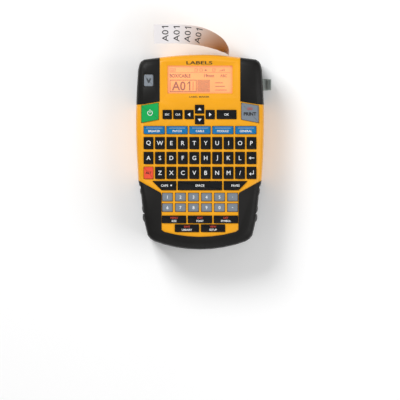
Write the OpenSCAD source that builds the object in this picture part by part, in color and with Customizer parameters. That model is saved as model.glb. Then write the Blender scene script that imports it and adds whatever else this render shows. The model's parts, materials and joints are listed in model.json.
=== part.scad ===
/* [Body] */
// Width of the body at its widest place
body_w = 128; // [126:1:160]
// Length of the body from the bottom bumper to the label exit
body_l = 195; // [192:1:236]
// Height of the yellow front face above the surface it lies on
body_h = 52; // [50:1:64]
// Wall of the two case halves
wall = 2.4; // [2:0.1:2.9]
// Thickness of the rubber guards and bumper
rubber_t = 2.6; // [2.2:0.1:3.2]
// How far the rubber stands above the yellow face
rubber_proud = 0.6; // [0.4:0.1:1]
// Height of the rubber feet under the back
foot_h = 1.2; // [0.8:0.1:2]

/* [Keys] */
// Letter key width
letter_w = 9.2; // [7:0.1:9.4]
// Letter key length
letter_l = 11.6; // [9:0.1:13]
// Distance between letter keys in a row
letter_pitch = 11.44; // [11:0.02:11.5]
// Distance between the letter rows
letter_row = 14.87; // [14.4:0.01:14.9]
// How far the keys stand above the front face
key_proud = 1.3; // [0.8:0.1:2]
// Gap between a key and its hole
key_gap = 0.35; // [0.25:0.05:0.4]
// Lip around the foot of each key
key_lip = 0.6; // [0.4:0.05:0.62]
// How far a key travels when pressed
key_travel = 1; // [0.6:0.1:1]

/* [Display] */
// Width of the window
window_w = 65; // [50:1:66]
// Height of the window
window_l = 28; // [22:1:29]

/* [Tape drive] */
// Width of the label tape
tape_w = 19; // [12:1:19]
// Thickness of the label tape
tape_t = 0.25; // [0.15:0.01:0.3]
// Radius of the rubber platen roller
platen_r = 4; // [3.4:0.1:4.6]
// Tooth module of the drive gears
gear_m = 0.8; // [0.7:0.02:0.82]
// Teeth on the motor pinion
pinion_n = 14; // [14:1:16]
// Teeth on the large wheel of the reduction gear
wheel_n = 32; // [30:1:34]
// Teeth on the small wheel of the reduction gear
small_n = 16; // [14:1:18]
// Teeth on the idler gear
idler_n = 30; // [28:1:32]
// Teeth on the platen gear and on the ribbon gear
roller_n = 20; // [18:1:22]

/* [Battery] */
// Diameter of one battery cell
cell_d = 14.5; // [10:0.1:14.6]
// Length of one battery cell
cell_l = 50.5; // [44:0.5:51]

/* [Hidden] */
$fn = 32;
eps = 0.02;
half_w = body_w / 2;
half_l = body_l / 2;

// Heights, from the surface that the back lies on
back_z = foot_h;
guard_floor = back_z + wall + 2;
seat_top = guard_floor + 1;
face_under = body_h - wall;
split_z = 30;
lip_top = face_under - 0.2;
lip_t = 1.2;
key_foot = lip_top - lip_t - 1;
dome_top = key_foot - key_travel - 0.1;
mat_t = 1.2;
dome_h = 1.6;
board_top = dome_top - dome_h - mat_t;
board_t = 1.6;
key_top = body_h + key_proud;

// How far the long sides draw in between their widest place and the label exit
side_bow = 3.4171875;

// Places on the face that follow the edges of the body
guard_in = half_w - 23.7;
guard_low = half_l - 50.4;
bumper_high = -half_l + 69.3;
bumper_in = half_w - 24.8;
bumper_floor = -half_l + 17.7;
rim = 5.5;
back_round = 3.5;

// The display and the bezel around it
window_y = half_l - 25;
bezel_margin = 4.8;
window_lip = 2;
window_t = 1.4;
panel_t = 3.2;
backlight_t = 1.4;

// Screws that join the case halves, and their bosses
screw_r = 1.4;
boss_r = 3;
boss_sink = 0.5;
case_screw_at = [[-half_w + 16, half_l - 13.5], [half_w - 8.5, half_l - 45.5],
    [edge_boss(16), 16], [-edge_boss(16), 16], [edge_boss(-14), -14], [-edge_boss(-14), -14],
    [0, -half_l + 9.5]];
board_post_at = [for (side = [1, -1]) each [[side * (half_w - 14.5), half_l - 44],
    [side * (half_w - 22), -half_l + 27.5]]];
board_screw_r = 1;
board_post_r = 2.6;
board_screw_tip = face_under - rubber_t - 0.2;
post_top = face_under - rubber_t + 0.5;

// Tape path, drive train and cutter, seen from the front
tape_x = 28.7;
tape_z = 16;
platen_at = [tape_x + tape_t / 2 + 0.08 + platen_r, half_l - 18.5];
ribbon_at = [14, half_l - 47.5];
motor_at = [47.5, half_l - 57.5];
gear_slack = 0.06;
pitch_r = gear_m / 2;
idler_at = meet(ribbon_at, platen_at, mesh(idler_n, roller_n), mesh(roller_n, idler_n));
wheel_at = meet(idler_at, motor_at, mesh(small_n, idler_n), mesh(pinion_n, wheel_n));
low_gear_z = 30.8;
high_gear_z = 34.6;
gear_t = 3;
shaft_r = 1.5;
run_gap = 0.05;
plate_z = 27.5;
plate_t = 2;
lever_at = [half_w - 14, half_l - 14.5];
carrier_pin_at = [lever_at[0], half_l - 38.5];
lever_z = seat_top + 2.9;
lever_t = 5;
carrier_z = lever_z + lever_t + 0.5;
carrier_t = 3;
blade_y = half_l - rubber_t - wall - 4;
blade_t = 0.5;

// Cassette bay and battery tray in the back
bay = [[-38, half_l - 70.5], [33.5, half_l - 23]];
bay_wall = 2;
spool_at = [-14, half_l - 47];
spool_r = 18;
door = [[-41, half_l - 75.5], [43, half_l - 11.5]];
door_t = 2.2;
door_gap = 0.3;
hinge_gap = 1.05;
hinge_r = 2;
hinge_pin_r = 0.9;
hinge_arm = 2.7;
hinge_x = door[0][0] - hinge_arm;
hinge_z = back_z + hinge_r;
cell_count = 6;
cell_pitch = cell_d + 0.3;
tray_w = cell_count * cell_pitch + 0.6;
tray_l = cell_l + 4;
tray_top = -24.5;
tray_low = tray_top - tray_l;
cell_z = back_z + door_t + 0.3 + cell_d / 2;
hatch = [[-tray_w / 2 - 1, tray_low - 1], [tray_w / 2 + 1, tray_top + 1]];
hatch_hinge_y = hatch[1][1] + hinge_arm;
hatch_pin_r = 1.2;
hatch_barrel = 20;

// Half width of the silhouette along the long sides, and where a boss meets the side wall
function side_x(y) = half_w - side_bow * pow((y - 30) / (half_l - 30), 2);
function edge_boss(y) = side_x(y) - wall - boss_r + boss_sink;
// Centre distance of two meshing gears
function mesh(a, b) = (a + b) * pitch_r + gear_slack;
// Point at distance ra from a and rb from b, on the right-hand side of the way from a to b
function meet(a, b, ra, rb) =
    let (d = norm(b - a), u = (b - a) / d, x = (ra * ra - rb * rb + d * d) / (2 * d))
    a + u * x + [u[1], -u[0]] * sqrt(ra * ra - x * x);
function angle_to(a, b) = atan2(b[1] - a[1], b[0] - a[0]);
// Turn of gear b that puts its gaps on the teeth of gear a
function in_mesh(a_at, a_n, a_turn, b_at, b_n) =
    let (line = angle_to(a_at, b_at), share = (line - a_turn) * a_n / 360)
    line + 180 - (0.5 - share) * 360 / b_n;

wheel_turn = 0;
pinion_turn = in_mesh(wheel_at, wheel_n, wheel_turn, motor_at, pinion_n);
idler_turn = in_mesh(wheel_at, small_n, wheel_turn, idler_at, idler_n);
platen_turn = in_mesh(idler_at, idler_n, idler_turn, platen_at, roller_n);
ribbon_turn = in_mesh(idler_at, idler_n, idler_turn, ribbon_at, roller_n);

// Right side of the silhouette, from the label exit round to the bottom
right_side = [
    for (x = [0:10:40]) [x, half_l - 0.0018 * x * x],
    [half_w - 8, half_l - 4.9], [half_w - 4.9, half_l - 7], [half_w - 3.2, half_l - 10],
    for (y = [half_l - 15.5:-10:-20]) [side_x(y), y],
    [half_w - 2.3, bumper_high], [half_w - 5.2, -half_l + 54], [half_w - 7.4, -half_l + 31.5],
    [half_w - 10.4, -half_l + 19.3], [half_w - 11.6, -half_l + 14.2],
    [half_w - 14.4, -half_l + 10.6], [half_w - 18.5, -half_l + 8.1],
    for (x = [36:-12:0]) [x, -half_l + 0.0038 * x * x]];

whole_outline = concat(right_side,
    [for (i = [len(right_side) - 2:-1:1]) [-right_side[i][0], right_side[i][1]]]);

// The silhouette drawn in by inset on every side
function drawn_in(inset) =
    [for (p = whole_outline) [p[0] * (1 - inset / half_w), p[1] * (1 - inset / half_l)]];

// The whole closed form, shrunk by inset, with its soft front and back shoulders
module body_form(inset, low, high) {
    layers = [[low, back_round], [low + 1.6, 1], [low + 5, 0], [high - 7, 0], [high - 3, 1.2],
        [high - 0.9, 3.6], [high, 7]];
    count = len(whole_outline);
    points = [for (layer = layers) for (p = drawn_in(inset + layer[1])) [p[0], p[1], layer[0]]];
    last = count * (len(layers) - 1);
    sides = [for (k = [0:len(layers) - 2], i = [0:count - 1])
        let (a = k * count + i, b = k * count + (i + 1) % count)
        each [[a, b, b + count], [a, b + count, a + count]]];
    polyhedron(points, concat(sides, [[for (i = [count - 1:-1:0]) i]],
        [[for (i = [0:count - 1]) last + i]]), convexity = 4);
}

module box_at(low, high) {
    translate(low) cube(high - low);
}

module column(at, r, low, high) {
    translate([at[0], at[1], low]) cylinder(r = r, h = high - low);
}

module both_sides() {
    children();
    mirror([1, 0, 0]) children();
}

// Plans of one corner guard and of the lower bumper, grown by grow
module guard_plan(grow = 0) {
    out = half_w + 5;
    polygon([[guard_in - grow, half_l + 5], [guard_in - grow, guard_low + 3.4 - grow],
        [guard_in + 16.7, guard_low + 0.6 - grow], [out, guard_low - grow], [out, half_l + 5]]);
}

module bumper_plan(grow = 0) {
    high = bumper_high + grow;
    side = bumper_in - grow;
    floor_y = bumper_floor + grow;
    half = [[half_w + 9, high + 3], [half_w - 2, high], [side, high - 12.5],
        [side - 0.8, high - 14.8], [side - 0.8, floor_y + 2], [side - 3.6, floor_y]];
    difference() {
        translate([-half_w - 5, -half_l - 5]) square([body_w + 10, high + half_l + 5]);
        polygon(concat(half, [for (x = [24:-12:-24]) [x, floor_y - 5 + 0.0038 * x * x]],
            [for (i = [5:-1:0]) [-half[i][0], half[i][1]]]));
    }
}

module rubber_plan(grow = 0) {
    both_sides() guard_plan(grow);
    bumper_plan(grow);
}

// What lies under the rubber: the case skin, and the flat of the back inside the rim
module under_rubber() {
    body_form(rubber_t, back_z + 2, body_h - rubber_t);
    translate([0, 0, -1]) linear_extrude(split_z) polygon(drawn_in(rim));
}

module case_form() {
    difference() {
        body_form(0, back_z, body_h);
        difference() {
            linear_extrude(body_h + 5) rubber_plan();
            under_rubber();
        }
    }
}

module case_hollow() {
    difference() {
        body_form(wall, back_z + wall, face_under);
        translate([0, 0, -eps]) linear_extrude(body_h + 5) rubber_plan(wall);
    }
    body_form(rubber_t + wall, guard_floor, face_under - rubber_t);
}

module rubber_form() {
    difference() {
        body_form(0, 0, body_h + rubber_proud);
        under_rubber();
    }
}

// Keys are [x, y, width, length], or [x, y, plan] where the plan isn't a rectangle
letter_top = 8.9;
function letter_at(row, col) =
    [(col - 4.5) * letter_pitch, letter_top - row * letter_row, letter_w, letter_l];
LETTERS_UPPER = [for (c = [0:9]) letter_at(0, c)];
LETTERS_MIDDLE = [for (c = [0:9]) letter_at(1, c)];
LETTERS_LOWER = [for (c = [1:9]) letter_at(2, c)];
ALTERNATE = [letter_at(2, 0)];
HOT = [for (i = [-2:2]) [i * 22.9, 21.9, 20.6, 7.5]];
NUMBERS_UPPER = [for (i = [0:5]) [(i - 2.5) * 13.02, -45.1, 10.2, 8]];
NUMBERS_LOWER = [for (i = [0:5]) [(i - 2.5) * 13.02, -55.6, 10.2, 8]];
FUNCTIONS_UPPER = [for (i = [-1:1]) [i * 25.9, -67.4, 23.7, 7.1]];
FUNCTIONS_LOWER = [for (i = [-0.5, 0.5]) [i * 26.1, -76.2, 23.7, 7.1]];
nav_y = 37.5;
nav_w = 8.6;
ESCAPE = [[-32.8, nav_y, nav_w, nav_w]];
CLEAR = [[-22.1, nav_y, nav_w, nav_w]];
LEFT = [[-10.9, nav_y, nav_w, nav_w]];
RIGHT = [[10.2, nav_y, nav_w, nav_w]];
UP = [[-0.4, nav_y + 5.35, nav_w, 8.2]];
DOWN = [[-0.4, nav_y - 5.35, nav_w, 8.2]];
OK = [[26.6, nav_y, 19.2, nav_w]];
space_y = -33.6;
space_l = 8.6;
SPACE = [[-0.1, space_y, 43.8, space_l]];
function slanted(side) = [side * 35.5, space_y, [[side * 24, space_y - space_l / 2],
    [side * 38.5, space_y - space_l / 2], [side * 47, space_y + space_l / 2],
    [side * 24, space_y + space_l / 2]]];
function big_corner(side) = [side * 50, 39.5, [[side * 41.5, 32.6], [side * 58.5, 29.4],
    [side * 58.5, 46.3], [side * 41.5, 49.1]]];
CAPS = [slanted(-1)];
FAVOURITES = [slanted(1)];
POWER = [big_corner(-1)];
PRINT = [big_corner(1)];
ALL_KEYS = concat(LETTERS_UPPER, LETTERS_MIDDLE, LETTERS_LOWER, ALTERNATE, HOT, NUMBERS_UPPER,
    NUMBERS_LOWER, FUNCTIONS_UPPER, FUNCTIONS_LOWER, ESCAPE, CLEAR, LEFT, RIGHT, UP, DOWN, OK,
    SPACE, CAPS, FAVOURITES, POWER, PRINT);
lip_low = lip_top - lip_t;
key_stem_r = 1.8;
dome_r = 2.4;
lip_room = 0.25;
release_at = [-half_w + 12.65, half_l - 25.9, 9.1, 11.6];
release_travel = 2.5;

module key_plan(k, grow) {
    if (is_list(k[2])) {
        offset(delta = grow) polygon(k[2]);
    } else {
        translate([k[0] - k[2] / 2 - grow, k[1] - k[3] / 2 - grow])
            square([k[2] + 2 * grow, k[3] + 2 * grow]);
    }
}

module keys(group) {
    for (k = group) {
        translate([0, 0, lip_low]) linear_extrude(lip_t) key_plan(k, key_lip);
        translate([0, 0, lip_low]) linear_extrude(key_top - lip_low) key_plan(k, 0);
        column(k, key_stem_r, key_foot, lip_low + eps);
    }
}

module key_openings() {
    room_low = key_foot - key_travel - 0.5;
    for (k = ALL_KEYS) {
        translate([0, 0, room_low]) linear_extrude(face_under - room_low)
            key_plan(k, key_lip + lip_room);
        translate([0, 0, room_low]) linear_extrude(body_h) key_plan(k, key_gap);
    }
}

// The release button stands in the left guard, deeper than a key
release_lip_top = body_h - rubber_t - wall - 0.2;
release_low = release_lip_top - lip_t;

module release_opening() {
    translate([0, 0, release_low - release_travel - 0.5]) linear_extrude(body_h)
        key_plan(release_at, key_gap);
}

module release_button() {
    color("lightslategray") {
        translate([0, 0, release_low]) linear_extrude(body_h + 0.2 - release_low)
            key_plan(release_at, 0);
        translate([0, 0, release_low]) linear_extrude(lip_t) key_plan(release_at, key_lip);
    }
}

module power_key() { color("seagreen") keys(POWER); }
module print_key() { color("slategray") keys(PRINT); }
module escape_key() { color("black") keys(ESCAPE); }
module clear_key() { color("black") keys(CLEAR); }
module left_key() { color("black") keys(LEFT); }
module right_key() { color("black") keys(RIGHT); }
module up_key() { color("black") keys(UP); }
module down_key() { color("black") keys(DOWN); }
module ok_key() { color("black") keys(OK); }
module hot_keys() { color("steelblue") keys(HOT); }
module letter_keys_upper() { color("black") keys(LETTERS_UPPER); }
module letter_keys_middle() { color("black") keys(LETTERS_MIDDLE); }
module letter_keys_lower() { color("black") keys(LETTERS_LOWER); }
module alternate_key() { color("tomato") keys(ALTERNATE); }
module caps_key() { color("black") keys(CAPS); }
module space_key() { color("black") keys(SPACE); }
module favourites_key() { color("black") keys(FAVOURITES); }
module number_keys_upper() { color("slategray") keys(NUMBERS_UPPER); }
module number_keys_lower() { color("slategray") keys(NUMBERS_LOWER); }
module function_keys_upper() { color("black") keys(FUNCTIONS_UPPER); }
module function_keys_lower() { color("black") keys(FUNCTIONS_LOWER); }

module case_screw_shafts(r, low, high) {
    for (at = case_screw_at) column(at, r, low, high);
}

screw_head_z = back_z + 3;
screw_head_t = 1.8;
screw_head_r = 2.6;
screw_tip = split_z + 9;

module case_screws() {
    color("silver") {
        case_screw_shafts(screw_r, screw_head_z + 1, screw_tip);
        difference() {
            case_screw_shafts(screw_head_r, screw_head_z, screw_head_z + screw_head_t);
            for (at = case_screw_at, turn = [0, 90])
                translate([at[0], at[1], screw_head_z]) rotate(turn)
                    cube([3, 0.7, 1.4], center = true);
        }
    }
}

module front_case() {
    color("goldenrod") {
        difference() {
            case_form();
            case_hollow();
            translate([0, 0, -body_h + split_z]) linear_extrude(body_h) square(3 * body_l, true);
            key_openings();
            release_opening();
            bezel_recess();
            display_room();
            release_room();
            box_at([-window_w / 2, window_y - window_l / 2, split_z],
                [window_w / 2, window_y + window_l / 2, body_h]);
        }
        difference() {
            case_screw_shafts(boss_r, split_z, split_z + 14);
            case_screw_shafts(screw_r, split_z - 1, screw_tip);
        }
        difference() {
            for (at = board_post_at) column(at, board_post_r, board_top, post_top);
            for (at = board_post_at) column(at, board_screw_r, board_top - 1, board_screw_tip);
        }
        boss_ties();
    }
}

// Ribs that tie the bosses without a wall of their own to the underside of the face
module boss_ties() {
    for (at = [case_screw_at[0], case_screw_at[1], case_screw_at[6]])
        column(at, boss_r - 0.4, split_z + 13, post_top);
}

// Room under the face for the window, the panel and its backlight
module display_room() {
    room = 0.3;
    box_at([-window_w / 2 - 4 - room, window_y - window_l / 2 - 2.5 - room, split_z + 8],
        [window_w / 2 + 4 + room, window_y + window_l / 2 + 2.5 + room, face_under]);
}

module release_room() {
    low = release_low - release_travel - 0.5;
    translate([0, 0, low]) linear_extrude(release_lip_top + 0.2 - low)
        key_plan(release_at, key_lip + lip_room);
}

module bezel_recess() {
    hull() {
        box_at([-window_w / 2 - bezel_margin, window_y - window_l / 2 - bezel_margin, body_h],
            [window_w / 2 + bezel_margin, window_y + window_l / 2 + bezel_margin, body_h + eps]);
        box_at([-window_w / 2 - 1, window_y - window_l / 2 - 1, body_h - 1.6],
            [window_w / 2 + 1, window_y + window_l / 2 + 1, body_h - 1.5]);
    }
}

// Door and hatch openings share this: a recess for the panel, a ledge and a way through
ledge_t = 1.8;
ledge_w = 3;
recess_top = back_z + door_t + 0.2;
hinge_room = 2.9;

module door_frame(area, grow) {
    box_at([area[0][0] - grow, area[0][1] - grow, back_z],
        [area[1][0] + grow, area[1][1] + grow, recess_top + ledge_t]);
}

module door_cut(area, ledge, left_gap, top_gap) {
    box_at([area[0][0] - left_gap, area[0][1] - door_gap, -1],
        [area[1][0] + door_gap, area[1][1] + top_gap, recess_top]);
    box_at([area[0][0] + ledge, area[0][1] + ledge, 0],
        [area[1][0] - ledge, area[1][1] - ledge, recess_top + ledge_t + 1]);
}

door_barrel = [door[0][1] + 12, door[1][1] - 12];
door_pin_span = [door_barrel[0] - 3.5, door_barrel[1] + 3.5];

module hinge_blocks() {
    box_at([hinge_x - 5, door_pin_span[0] - 2, back_z],
        [door[0][0], door_pin_span[1] + 2, recess_top + ledge_t + 1]);
    box_at([-hatch_barrel - 6, hatch[1][1], back_z],
        [hatch_barrel + 6, hatch_hinge_y + 4.5, recess_top + ledge_t + 1]);
}

module hinge_cuts() {
    box_at([hinge_x - hinge_room, door_barrel[0] - door_gap, -1],
        [door[0][0] + 1, door_barrel[1] + door_gap, hinge_z + hinge_r + 0.4]);
    translate([hinge_x, door_pin_span[0], hinge_z]) rotate([-90, 0, 0])
        cylinder(r = hinge_pin_r, h = door_pin_span[1] - door_pin_span[0]);
    box_at([-hatch_barrel - door_gap, hatch[1][1] - 1, -1],
        [hatch_barrel + door_gap, hatch_hinge_y + hinge_room, hinge_z + hinge_r + 0.4]);
    translate([-hatch_barrel - 4, hatch_hinge_y, hinge_z]) rotate([0, 90, 0])
        cylinder(r = hatch_pin_r + run_gap, h = 2 * hatch_barrel + 8);
}

lever_slot = [[half_w - 9, half_l - 40], [half_w + 3, half_l - 21.5]];

module lever_way() {
    box_at([lever_slot[0][0], lever_slot[0][1], lever_z - 0.8],
        [lever_slot[1][0], lever_slot[1][1], lever_z + lever_t + 0.8]);
}

exit_w = 2.4;
throat = [[18, bay[1][1] - 1], [38, bay[1][1] + 5.5]];
pivot_r = 1.5;
seat_r = 3.4;

module rear_case() {
    color("goldenrod") difference() {
        union() {
            difference() {
                intersection() {
                    case_form();
                    linear_extrude(split_z) square(3 * body_l, true);
                }
                case_hollow();
            }
            door_frame(door, 2.5);
            door_frame(hatch, 1);
            hinge_blocks();
            box_at([bay[0][0] - bay_wall, bay[0][1] - bay_wall, back_z],
                [bay[1][0] + bay_wall, bay[1][1] + bay_wall, plate_z]);
            box_at([-tray_w / 2 - 1, tray_low - 1, back_z],
                [tray_w / 2 + 1, tray_top + 1, cell_z + cell_d / 2]);
            case_screw_shafts(boss_r + 0.6, screw_head_z, split_z);
            intersection() {
                case_form();
                column(lever_at, seat_r, guard_floor - 1, seat_top);
            }
        }
        door_cut(door, ledge_w, hinge_gap, door_gap);
        door_cut(hatch, 1, door_gap, hinge_gap);
        hinge_cuts();
        box_at([bay[0][0], bay[0][1], recess_top], [bay[1][0], bay[1][1], split_z]);
        box_at([throat[0][0], throat[0][1], recess_top], [throat[1][0], throat[1][1], split_z]);
        box_at([-tray_w / 2, tray_low, recess_top], [tray_w / 2, tray_top, split_z]);
        case_screw_shafts(screw_head_r + 0.3, -1, screw_head_z + screw_head_t);
        case_screw_shafts(screw_r, 0, split_z + 1);
        lever_way();
        box_at([tape_x - exit_w / 2, half_l - 8, tape_z - tape_w / 2 - 0.8],
            [tape_x + exit_w / 2, half_l + 2, tape_z + tape_w / 2 + 0.8]);
    }
}

module corner_guard() {
    intersection() {
        rubber_form();
        linear_extrude(body_h + 5) guard_plan();
    }
}

module left_corner_guard() {
    color([0.13, 0.13, 0.12]) difference() {
        mirror([1, 0, 0]) corner_guard();
        release_opening();
    }
}

module right_corner_guard() {
    color([0.13, 0.13, 0.12]) difference() {
        corner_guard();
        lever_way();
    }
}

wave_pitch = 22;
wave_depth = 1.1;

module lower_bumper() {
    color([0.13, 0.13, 0.12]) difference() {
        intersection() {
            rubber_form();
            linear_extrude(body_h + 5) bumper_plan();
        }
        both_sides() for (i = [0:1]) {
            wave_y = bumper_high - 3 - i * wave_pitch;
            wave_x = half_w - 4 - i * 2.4;
            translate([0, 0, -1]) linear_extrude(body_h + 5)
                polygon([[wave_x + 6, wave_y + 2], [wave_x - 0.2, wave_y - 3],
                    [wave_x - wave_depth - 1, wave_y - 9], [wave_x + 6, wave_y - 10]]);
        }
    }
}

module display_window() {
    color([0.95, 0.75, 0.5, 0.5]) {
        box_at([-window_w / 2 - window_lip, window_y - window_l / 2 - window_lip,
            face_under - window_t],
            [window_w / 2 + window_lip, window_y + window_l / 2 + window_lip, face_under]);
        box_at([-window_w / 2 + 0.1, window_y - window_l / 2 + 0.1, face_under - eps],
            [window_w / 2 - 0.1, window_y + window_l / 2 - 0.1, body_h - 1.7]);
    }
}

panel_top = face_under - window_t;
module display_panel() {
    color("orange") box_at([-window_w / 2 - 4, window_y - window_l / 2 - 2.5, panel_top - panel_t],
        [window_w / 2 + 4, window_y + window_l / 2 + 2.5, panel_top]);
}

module display_backlight() {
    low = panel_top - panel_t - backlight_t;
    color("white") box_at([-window_w / 2 - 4, window_y - window_l / 2 - 2.5, low],
        [window_w / 2 + 4, window_y + window_l / 2 + 2.5, panel_top - panel_t]);
}

mat_w = 2 * (half_w - wall - 7.6);
mat_high = 49.2;
mat_steps = [[-27.6, mat_w / 2 - 4], [-39, 38.2], [-80.5, 0]];
board_low = -half_l + rubber_t + wall + 11.9;
board_steps = [[-27.6, mat_w / 2 - 4], [-62, half_w - rubber_t - wall - 13.5], [board_low, 0]];

// A plate that gets narrower in steps towards the bottom: each step is [y, half width below it]
module stepped_plate(high, steps, low, top) {
    for (i = [0:len(steps) - 1]) {
        w = i == 0 ? mat_w / 2 : steps[i - 1][1];
        y = i == 0 ? high : steps[i - 1][0];
        box_at([-w, steps[i][0], low], [w, y + (i == 0 ? 0 : eps), top]);
    }
}

module keypad_mat() {
    color("dimgray") {
        stepped_plate(mat_high, mat_steps, board_top, board_top + mat_t);
        for (k = ALL_KEYS) column(k, dome_r, board_top + mat_t - eps, dome_top);
    }
}

module main_board() {
    color("darkgreen") difference() {
        stepped_plate(half_l - 40.5, board_steps, board_top - board_t, board_top);
        for (at = board_post_at)
            column(at, board_screw_r, board_top - board_t - 1, board_top + 1);
        for (at = case_screw_at)
            column(at, boss_r + 0.4, board_top - board_t - 1, board_top + 1);
    }
}

module board_screws() {
    color("silver") for (at = board_post_at) {
        column(at, board_screw_r, board_top - board_t - eps, board_screw_tip);
        column(at, 2, board_top - board_t - 1.2, board_top - board_t);
    }
}

module rear_feet() {
    color([0.13, 0.13, 0.12]) {
        box_at([-42, -8, 0], [42, 12, back_z]);
        both_sides() column([half_w - 12, half_l - 60], 4, 0, back_z);
    }
}

module door_panel(area, low) {
    box_at([area[0][0], area[0][1], low], [area[1][0], area[1][1], low + door_t]);
}

door_sight = [[-24, half_l - 57.5], [-4, half_l - 37.5]];

module cassette_door() {
    grip_y = half_l - 51.5;
    color("goldenrod") difference() {
        union() {
            door_panel(door, back_z);
            box_at([hinge_x, door_barrel[0], back_z],
                [door[0][0] + eps, door_barrel[1], back_z + door_t]);
            translate([hinge_x, door_barrel[0], hinge_z]) rotate([-90, 0, 0])
                cylinder(r = hinge_r, h = door_barrel[1] - door_barrel[0]);
        }
        translate([hinge_x, door_barrel[0] - 1, hinge_z]) rotate([-90, 0, 0])
            cylinder(r = hinge_pin_r + run_gap, h = door_barrel[1] - door_barrel[0] + 2);
        box_at([door_sight[0][0], door_sight[0][1], 0], [door_sight[1][0], door_sight[1][1], 9]);
        for (i = [0:4]) box_at([door[1][0] - 5, grip_y + i * 2.4, 0],
            [door[1][0] - 2, grip_y + 1.2 + i * 2.4, back_z + 0.6]);
    }
}

module door_window() {
    color([0.8, 0.85, 0.9, 0.4])
        box_at([door_sight[0][0], door_sight[0][1], back_z + 0.4],
            [door_sight[1][0], door_sight[1][1], back_z + door_t - 0.4]);
}

module door_pin() {
    color("silver") translate([hinge_x, door_pin_span[0], hinge_z]) rotate([-90, 0, 0])
        cylinder(r = hinge_pin_r, h = door_pin_span[1] - door_pin_span[0]);
}

module battery_door() {
    color("goldenrod") difference() {
        union() {
            door_panel(hatch, back_z);
            box_at([-hatch_barrel, hatch[1][1] - eps, back_z],
                [hatch_barrel, hatch_hinge_y, back_z + door_t]);
            translate([-hatch_barrel, hatch_hinge_y, hinge_z]) rotate([0, 90, 0])
                cylinder(r = hinge_r, h = 2 * hatch_barrel);
            translate([-hatch_barrel - 3.6, hatch_hinge_y, hinge_z]) rotate([0, 90, 0])
                cylinder(r = hatch_pin_r, h = 2 * hatch_barrel + 7.2);
        }
        for (i = [0:5]) box_at([-10, hatch[0][1] + 4 + i * 2.4, 0],
            [10, hatch[0][1] + 5.2 + i * 2.4, back_z + 0.6]);
    }
}

contact_t = 0.6;

module battery_cells() {
    color("silver") for (i = [0:cell_count - 1]) {
        side = i % 2;
        translate([(i - (cell_count - 1) / 2) * cell_pitch, tray_low + 2 + side * cell_l, cell_z])
            rotate([side ? 90 : -90, 0, 0]) {
                cylinder(r = cell_d / 2, h = cell_l - 1.2);
                cylinder(r = 2.7, h = cell_l);
            }
    }
}

module battery_contacts() {
    color("silver") for (i = [0:cell_count - 1], y = [tray_low + 1, tray_top - 1 - contact_t])
        translate([(i - (cell_count - 1) / 2) * cell_pitch, y, cell_z])
            translate([-4.5, 0, -4.5]) cube([9, contact_t, 9]);
    color("silver") for (i = [0:cell_count - 1], y = [tray_low, tray_top - 1])
        translate([(i - (cell_count - 1) / 2) * cell_pitch - 1, y, cell_z - 1]) cube([2, 1, 2]);
    color("silver") for (i = [0:cell_count - 1])
        translate([(i - (cell_count - 1) / 2) * cell_pitch - 2, tray_low + 1 + contact_t, cell_z - 2])
            cube([4, 0.4, 4]);
    color("silver") for (i = [0:cell_count - 1])
        translate([(i - (cell_count - 1) / 2) * cell_pitch - 2, tray_top - 2, cell_z - 2])
            cube([4, 0.4, 4]);
}

cassette = [[bay[0][0] + 2, bay[0][1] + 2, 4.4], [bay[1][0] - 2, bay[1][1] - 1.5, 26.8]];
spool_hub_r = 5;
spool_room = 0.8;
channel_w = 2.4;
ribbon_spool_r = 7.5;
ribbon_hub_r = 2.6;

module tape_cassette() {
    pocket_low = cassette[0][2] - 1;
    pocket_top = tape_z + tape_w / 2 + 0.6;
    color("gray") {
        difference() {
            box_at(cassette[0], cassette[1]);
            column(spool_at, spool_r + spool_room, pocket_low, pocket_top);
            column(ribbon_at, ribbon_spool_r + spool_room, pocket_low, pocket_top);
            column(ribbon_at, ribbon_hub_r, pocket_low, cassette[1][2] + 1);
            box_at([spool_at[0], cassette[0][1] + 1.6, pocket_low],
                [tape_x + channel_w / 2, cassette[0][1] + 1.6 + channel_w, pocket_top]);
            box_at([tape_x - channel_w / 2, cassette[0][1] + 1.6, pocket_low],
                [tape_x + channel_w / 2, cassette[1][1] + 1, pocket_top]);
        }
        column(spool_at, spool_hub_r - run_gap, cassette[0][2] + 1, pocket_top + 0.1);
    }
}

module tape_spool() {
    low = tape_z - tape_w / 2;
    color("ivory") difference() {
        column(spool_at, spool_r, low, low + tape_w);
        column(spool_at, spool_hub_r, low - 1, low + tape_w + 1);
    }
}

module ribbon_spool() {
    low = tape_z - tape_w / 2;
    color([0.15, 0.15, 0.15]) difference() {
        union() {
            column(ribbon_at, ribbon_spool_r - 1, low, low + tape_w);
            column(ribbon_at, ribbon_spool_r, low, low + 0.8);
            column(ribbon_at, ribbon_spool_r, low + tape_w - 0.8, low + tape_w);
        }
        column(ribbon_at, ribbon_shaft_r, low - 1, low + tape_w + 1);
    }
}

module print_head() {
    face_x = tape_x - tape_t / 2 - 0.08;
    color("darkslategray") {
        box_at([face_x - 4, platen_at[1] - 4, tape_z - tape_w / 2 - 0.5],
            [face_x, platen_at[1] + 4, plate_z]);
        for (i = [0:3]) box_at([face_x - 7.5, platen_at[1] - 4 + i * 2.2, tape_z - tape_w / 2],
            [face_x - 4 + eps, platen_at[1] - 3 + i * 2.2, tape_z + tape_w / 2]);
    }
}

module platen_roller() {
    color("dimgray") {
        column(platen_at, platen_r, tape_z - tape_w / 2 - 0.5, tape_z + tape_w / 2 + 0.5);
        column(platen_at, shaft_r, tape_z - tape_w / 2 - 2, low_gear_z + gear_t + 0.3);
    }
}

// One spur gear: straight-flanked roots, involute flanks and short teeth
addendum = 0.8;
dedendum = 1.05;
pressure = 20;
tooth_slack = 0.05;

function involute(base, r) = sqrt(max(0, r * r / (base * base) - 1)) * 180 / PI
    - acos(min(1, base / r));

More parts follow.
